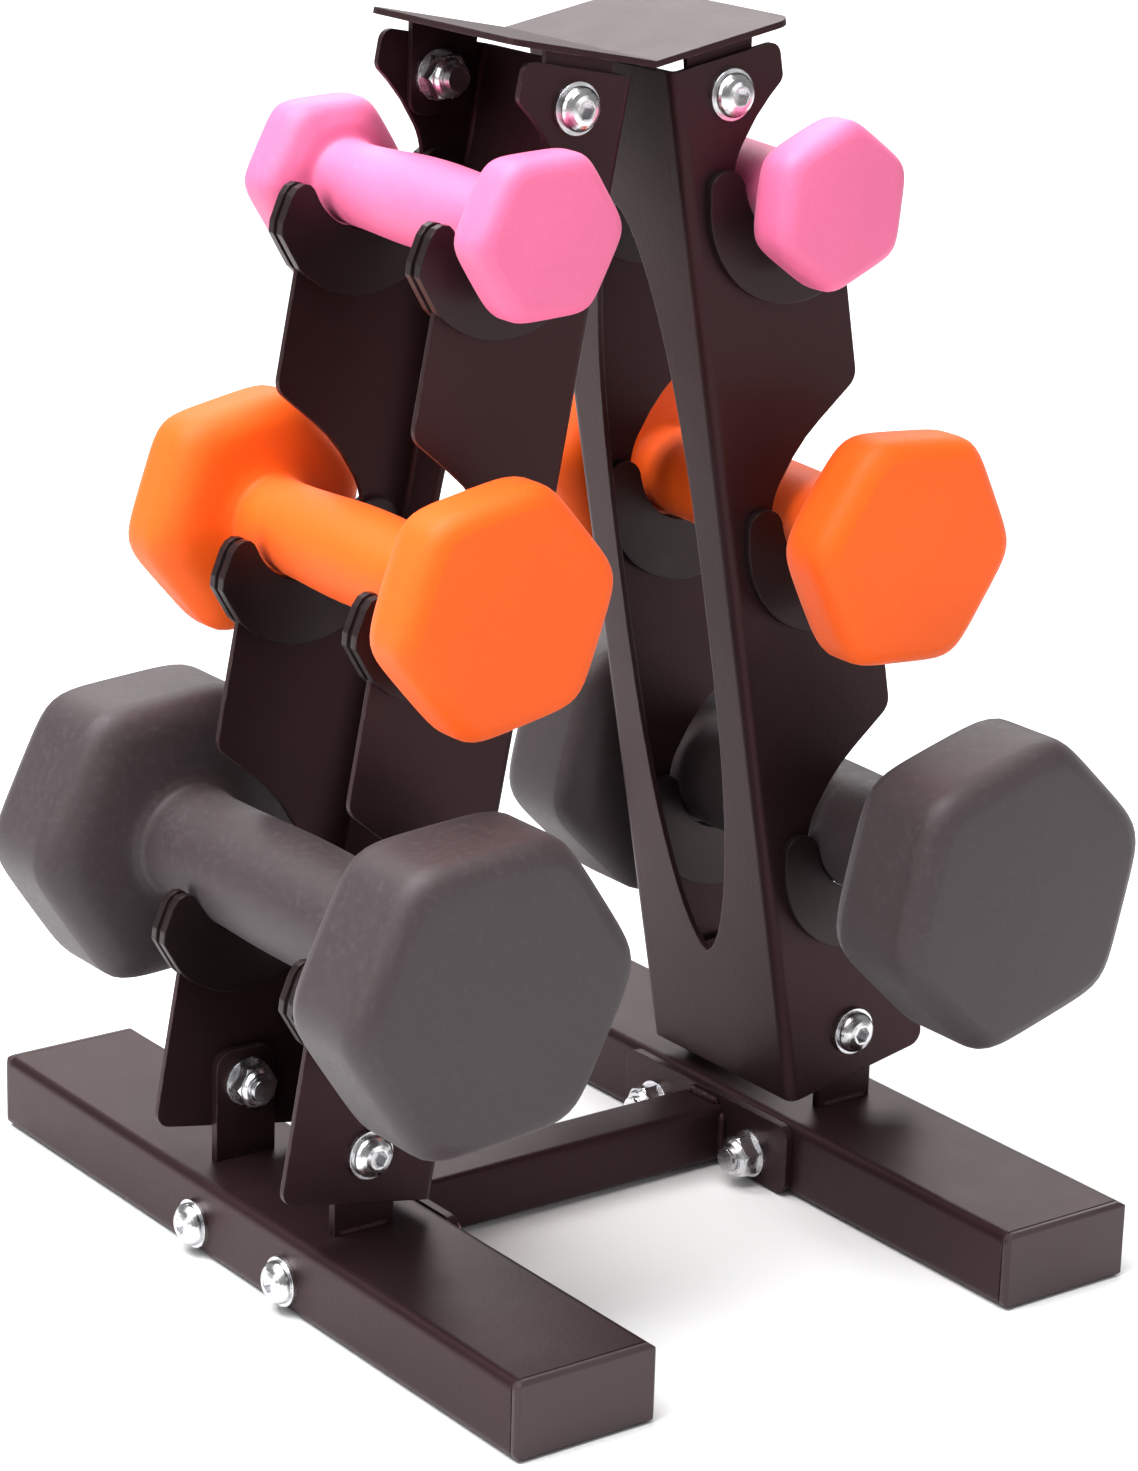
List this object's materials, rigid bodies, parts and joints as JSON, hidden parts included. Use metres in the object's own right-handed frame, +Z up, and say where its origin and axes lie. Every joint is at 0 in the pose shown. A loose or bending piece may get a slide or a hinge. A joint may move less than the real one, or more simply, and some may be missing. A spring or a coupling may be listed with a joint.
{
  "type": "dumbbell rack",
  "caption": "Tabletop A-frame dumbbell rack of folded panels on a bolted H base, with coated hex-head dumbbells resting in lined saddles on both sides.",
  "frame": {"origin": "centre of the footprint, on the floor", "axes": "+X across the rack along the cross bar, +Y along the base tubes and handles, +Z up"},
  "size_m": [0.2948, 0.3, 0.3918],
  "materials": {
    "powder_coat": "satin fine-texture black powder coat",
    "cap_plastic": "satin moulded",
    "saddle_plastic": "satin moulded",
    "zinc_hardware": "bright zinc",
    "cast_core": "as cast, hidden under the coat",
    "coat_charcoal": "matte soft-touch dip",
    "coat_orange": "matte soft-touch dip",
    "coat_pink": "matte soft-touch dip"
  },
  "bodies": {
    "rack": {"base_tube_left": "powder_coat", "base_tube_right": "powder_coat", "end_cap_left_front": "cap_plastic", "end_cap_left_rear": "cap_plastic", "end_cap_right_front": "cap_plastic", "end_cap_right_rear": "cap_plastic", "cross_bar": "powder_coat", "end_plate_left": "powder_coat", "end_plate_right": "powder_coat", "foot_tab_left_front": "powder_coat", "foot_tab_left_rear": "powder_coat", "foot_tab_right_front": "powder_coat", "foot_tab_right_rear": "powder_coat", "panel_left": "powder_coat", "panel_right": "powder_coat", "top_bracket": "powder_coat", "liner_left_front_low": "saddle_plastic", "liner_left_front_mid": "saddle_plastic", "liner_left_front_top": "saddle_plastic", "liner_left_rear_low": "saddle_plastic", "liner_left_rear_mid": "saddle_plastic", "liner_left_rear_top": "saddle_plastic", "liner_right_front_low": "saddle_plastic", "liner_right_front_mid": "saddle_plastic", "liner_right_front_top": "saddle_plastic", "liner_right_rear_low": "saddle_plastic", "liner_right_rear_mid": "saddle_plastic", "liner_right_rear_top": "saddle_plastic", "top_bolts": "zinc_hardware", "top_washers": "zinc_hardware", "top_nuts": "zinc_hardware", "foot_bolts": "zinc_hardware", "foot_washers": "zinc_hardware", "foot_nuts": "zinc_hardware", "base_bolts": "zinc_hardware", "base_washers": "zinc_hardware", "base_nuts": "zinc_hardware"},
    "dumbbell_left_low": {"core_left_low": "cast_core", "coat_left_low": "coat_charcoal"},
    "dumbbell_left_mid": {"core_left_mid": "cast_core", "coat_left_mid": "coat_orange"},
    "dumbbell_left_top": {"core_left_top": "cast_core", "coat_left_top": "coat_pink"},
    "dumbbell_right_low": {"core_right_low": "cast_core", "coat_right_low": "coat_charcoal"},
    "dumbbell_right_mid": {"core_right_mid": "cast_core", "coat_right_mid": "coat_orange"},
    "dumbbell_right_top": {"core_right_top": "cast_core", "coat_right_top": "coat_pink"}
  },
  "joints": [
    {"name": "lift_off_left_low", "type": "slide", "parent": "rack", "child": "dumbbell_left_low", "axis": [-0.766, 0, 0.6428], "range_m": [0, 0.15]},
    {"name": "lift_off_left_mid", "type": "slide", "parent": "rack", "child": "dumbbell_left_mid", "axis": [-0.6428, 0, 0.766], "range_m": [0, 0.15]},
    {"name": "lift_off_left_top", "type": "slide", "parent": "rack", "child": "dumbbell_left_top", "axis": [-0.6428, 0, 0.766], "range_m": [0, 0.15]},
    {"name": "lift_off_right_low", "type": "slide", "parent": "rack", "child": "dumbbell_right_low", "axis": [0.766, 0, 0.6428], "range_m": [0, 0.15]},
    {"name": "lift_off_right_mid", "type": "slide", "parent": "rack", "child": "dumbbell_right_mid", "axis": [0.6428, 0, 0.766], "range_m": [0, 0.15]},
    {"name": "lift_off_right_top", "type": "slide", "parent": "rack", "child": "dumbbell_right_top", "axis": [0.6428, 0, 0.766], "range_m": [0, 0.15]}
  ]
}
